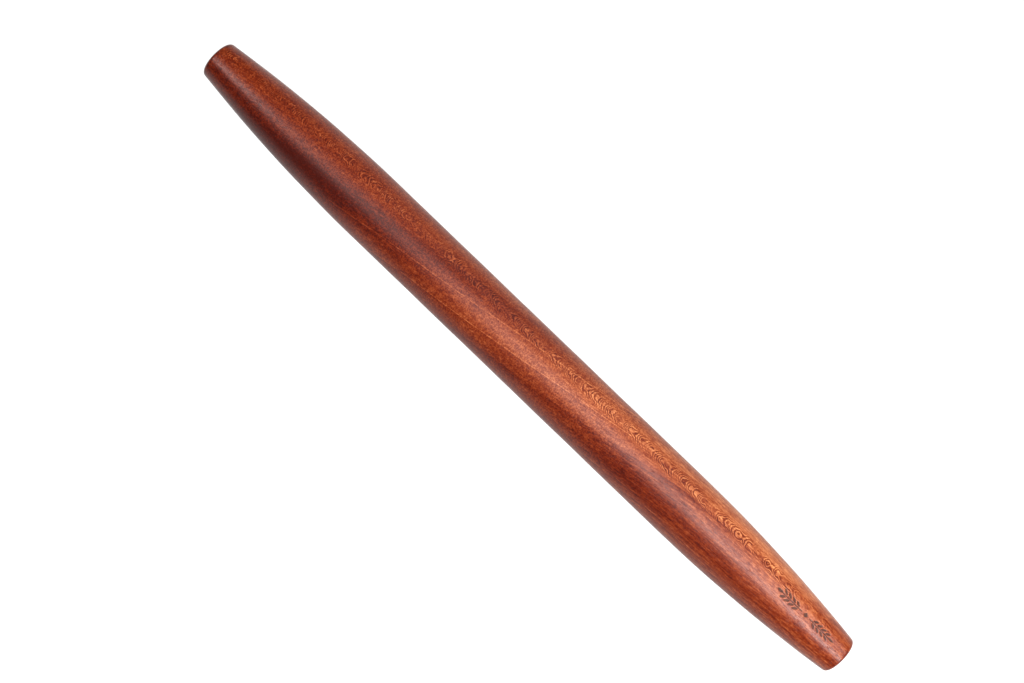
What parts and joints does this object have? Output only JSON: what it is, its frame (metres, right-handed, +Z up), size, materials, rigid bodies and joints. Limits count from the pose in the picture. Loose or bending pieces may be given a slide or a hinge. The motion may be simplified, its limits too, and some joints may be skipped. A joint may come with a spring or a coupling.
{
  "type": "rolling pin",
  "caption": "Tapered French-style rolling pin of solid red-brown hardwood, without handles: a cylindrical middle that narrows on a long curve to flat ends with rounded edges.",
  "frame": {"origin": "on the turning axis at mid-length, the centre of the pin", "axes": "+X along the turning axis towards one end, +Z up from the surface the pin lies on, +Y across the pin"},
  "size_m": [0.4, 0.0326, 0.0326],
  "materials": {
    "hardwood": "satin"
  },
  "bodies": {
    "root": {"rolling_pin": "hardwood"}
  },
  "joints": []
}
